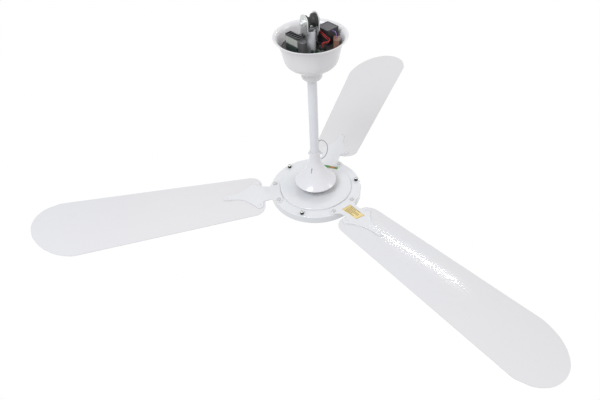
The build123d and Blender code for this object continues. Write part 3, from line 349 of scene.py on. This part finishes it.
def grid_piece(name, points, material, thickness, body):
    """Sheet through a grid of points, with a flat UV map, given its thickness downward."""
    rows, columns = points.shape[:2]
    corner = np.arange(rows * columns).reshape(rows, columns)
    quads = np.stack([corner[:-1, :-1], corner[1:, :-1], corner[1:, 1:], corner[:-1, 1:]],
                     axis=-1).reshape(-1, 4)
    mesh = bpy.data.meshes.new(name)
    mesh.from_pydata(points.reshape(-1, 3).tolist(), [], quads.tolist())
    flat = mesh.uv_layers.new(name="flat")
    place = np.stack(np.meshgrid(np.linspace(0, 1, rows), np.linspace(0, 1, columns),
                                 indexing="ij"), axis=-1).reshape(-1, 2)
    flat.data.foreach_set("uv", place[quads.reshape(-1)].ravel())
    mesh.polygons.foreach_set("use_smooth", [True] * len(mesh.polygons))
    mesh.materials.append(material)
    mesh.update()
    piece = bpy.data.objects.new(name, mesh)
    bpy.context.collection.objects.link(piece)
    wall = piece.modifiers.new("wall", "SOLIDIFY")
    wall.thickness = thickness
    wall.offset = -1.0
    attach(piece, body)


def blade_top(station, side):
    """Height of a blade's top over the flange: a circle through three points of a pitched parabola."""
    half, pitch, camber = 0.095, 0.1412, 0.985
    sink, fall, level_station = 0.00434, 0.0173, 0.45
    trail = -pitch * half - camber * half ** 2
    lead = pitch * half - camber * half ** 2
    height = (2 * half ** 2 + lead ** 2 + trail ** 2) / (2 * (lead + trail))
    centre = (2 * height * lead - half ** 2 - lead ** 2) / (2 * half)
    radius = math.hypot(centre, height)
    crown = height + np.sqrt(radius ** 2 - (side - centre) ** 2)
    return crown - sink - fall * (station - level_station)


def iron_top(station, side):
    """Height of an iron's top over the flange: flat foot, straight slope, then the blade's form."""
    share = np.clip((station - NECK_START) / (LEAF_START - NECK_START), 0, 1)
    return IRON + share * blade_top(np.maximum(station, LEAF_START), side)


def on_rotor(station, side, height, turn):
    """Place points given along a blade's line into the object's frame."""
    angle = math.radians(turn)
    return np.stack([station * math.cos(angle) - side * math.sin(angle),
                     station * math.sin(angle) + side * math.cos(angle), FLANGE + height], axis=-1)


def foil_sticker():
    """Foil label: a slightly skewed grid in station and side that follows the iron's top."""
    middle, slant, lift = 0.001, 0.06, 0.00035
    station, side = np.meshgrid(np.linspace(0.1085, 0.157, 30), np.linspace(-0.0115, 0.0140, 16),
                                indexing="ij")
    skew = station + (side - middle) * slant
    return on_rotor(skew, side, iron_top(skew, side) + lift, BLADE_TURNS[2])


def strip_sticker():
    """Strip label: a flat grid on the raised disc, beside the far iron."""
    side, station = np.meshgrid(np.linspace(-0.034, 0.009, 12), np.linspace(0.0725, 0.0810, 5),
                                indexing="ij")
    lift = 0.0003
    height = np.full_like(side, DISC_TOP + lift)
    return on_rotor(station, side, height, BLADE_TURNS[0])[:, ::-1]


grid_piece("iron_foil_label", foil_sticker(), GOLD_FOIL, LABEL_SHEET, "rotor")
grid_piece("disc_strip_label", strip_sticker(), STRIP_FOIL, LABEL_SHEET, "rotor")


# Studio

def backdrop_share(nodes, links):
    """One for the rays that should meet a plain white backdrop, and nought for the light."""
    path, first, both = (nodes.new("ShaderNodeLightPath"), nodes.new("ShaderNodeMath"),
                         nodes.new("ShaderNodeMath"))
    first.operation = both.operation = "MAXIMUM"
    links.new(path.outputs["Is Camera Ray"], first.inputs[0])
    links.new(path.outputs["Is Glossy Ray"], first.inputs[1])
    links.new(first.outputs[0], both.inputs[0])
    links.new(path.outputs["Is Transmission Ray"], both.inputs[1])
    return both.outputs[0]


def make_floor():
    """Pale floor far below the hanging fan, seen as plain white."""
    mesh = bpy.data.meshes.new("floor")
    corners = [(x * FLOOR_REACH, y * FLOOR_REACH, FLOOR_LEVEL)
               for x, y in ((-1, -1), (1, -1), (1, 1), (-1, 1))]
    mesh.from_pydata(corners, [], [(0, 1, 2, 3)])
    floor = bpy.data.objects.new("floor", mesh)
    bpy.context.collection.objects.link(floor)
    material, n, links = new_material("floor_paper")
    shader, out = n["Principled BSDF"], n["Material Output"]
    shader.inputs["Base Color"].default_value = (0.85, 0.85, 0.85, 1)
    shader.inputs["Roughness"].default_value = 0.8
    glow = n.new("ShaderNodeEmission")
    glow.inputs["Color"].default_value = (1, 1, 1, 1)
    mix = n.new("ShaderNodeMixShader")
    links.new(backdrop_share(n, links), mix.inputs["Fac"])
    links.new(shader.outputs[0], mix.inputs[1])
    links.new(glow.outputs[0], mix.inputs[2])
    links.new(mix.outputs[0], out.inputs["Surface"])
    mesh.materials.append(material)


def make_world():
    """Even pale light from all round, and a white backdrop for the camera and mirrored rays."""
    world = bpy.data.worlds.new("studio")
    world.use_nodes = True
    n, links = world.node_tree.nodes, world.node_tree.links
    n.clear()
    out = n.new("ShaderNodeOutputWorld")
    light, white, mix = (n.new("ShaderNodeBackground"), n.new("ShaderNodeBackground"),
                         n.new("ShaderNodeMixShader"))
    light.inputs["Color"].default_value = (0.97, 0.98, 1.0, 1)
    light.inputs["Strength"].default_value = 0.62
    white.inputs["Color"].default_value = (1, 1, 1, 1)
    white.inputs["Strength"].default_value = 1.0
    links.new(backdrop_share(n, links), mix.inputs["Fac"])
    links.new(light.outputs[0], mix.inputs[1])
    links.new(white.outputs[0], mix.inputs[2])
    links.new(mix.outputs[0], out.inputs["Surface"])
    bpy.context.scene.world = world


def make_light(name, place, target, size, power, colour):
    """Square soft box that faces a point."""
    data = bpy.data.lights.new(name, "AREA")
    data.size = size
    data.energy = power
    data.color = colour
    light = bpy.data.objects.new(name, data)
    light.location = place
    light.rotation_euler = (Vector(target) - Vector(place)).to_track_quat("-Z", "Y").to_euler()
    bpy.context.collection.objects.link(light)


def make_strip_light():
    """Long thin soft box whose reflection runs along the near blade's crown."""
    data = bpy.data.lights.new("strip_light", "AREA")
    data.shape = "RECTANGLE"
    data.size, data.size_y = 0.56, 0.022
    data.energy = 1.8
    light = bpy.data.objects.new("strip_light", data)
    place = Vector((1.575, 0.744, 0.746))
    along = Vector((0.267, -0.426, -0.068)).normalized()
    back = (place - Vector((0.062, -0.321, -0.444))).normalized()
    across = back.cross(along).normalized()
    back = along.cross(across)
    turn = Matrix((along, across, back)).transposed().to_4x4()
    light.matrix_world = Matrix.Translation(place) @ turn
    bpy.context.collection.objects.link(light)


make_floor()
make_world()
make_light("key_light", (-1.6, -0.6, 1.9), (0, 0, -0.4), 1.2, 35, (0.91, 0.955, 1.0))
make_light("side_light", (1.6, -0.9, 1.0), (0.2, -0.3, -0.4), 0.8, 6, (1.0, 0.93, 0.89))
make_strip_light()
bpy.context.scene.view_settings.view_transform = "Standard"
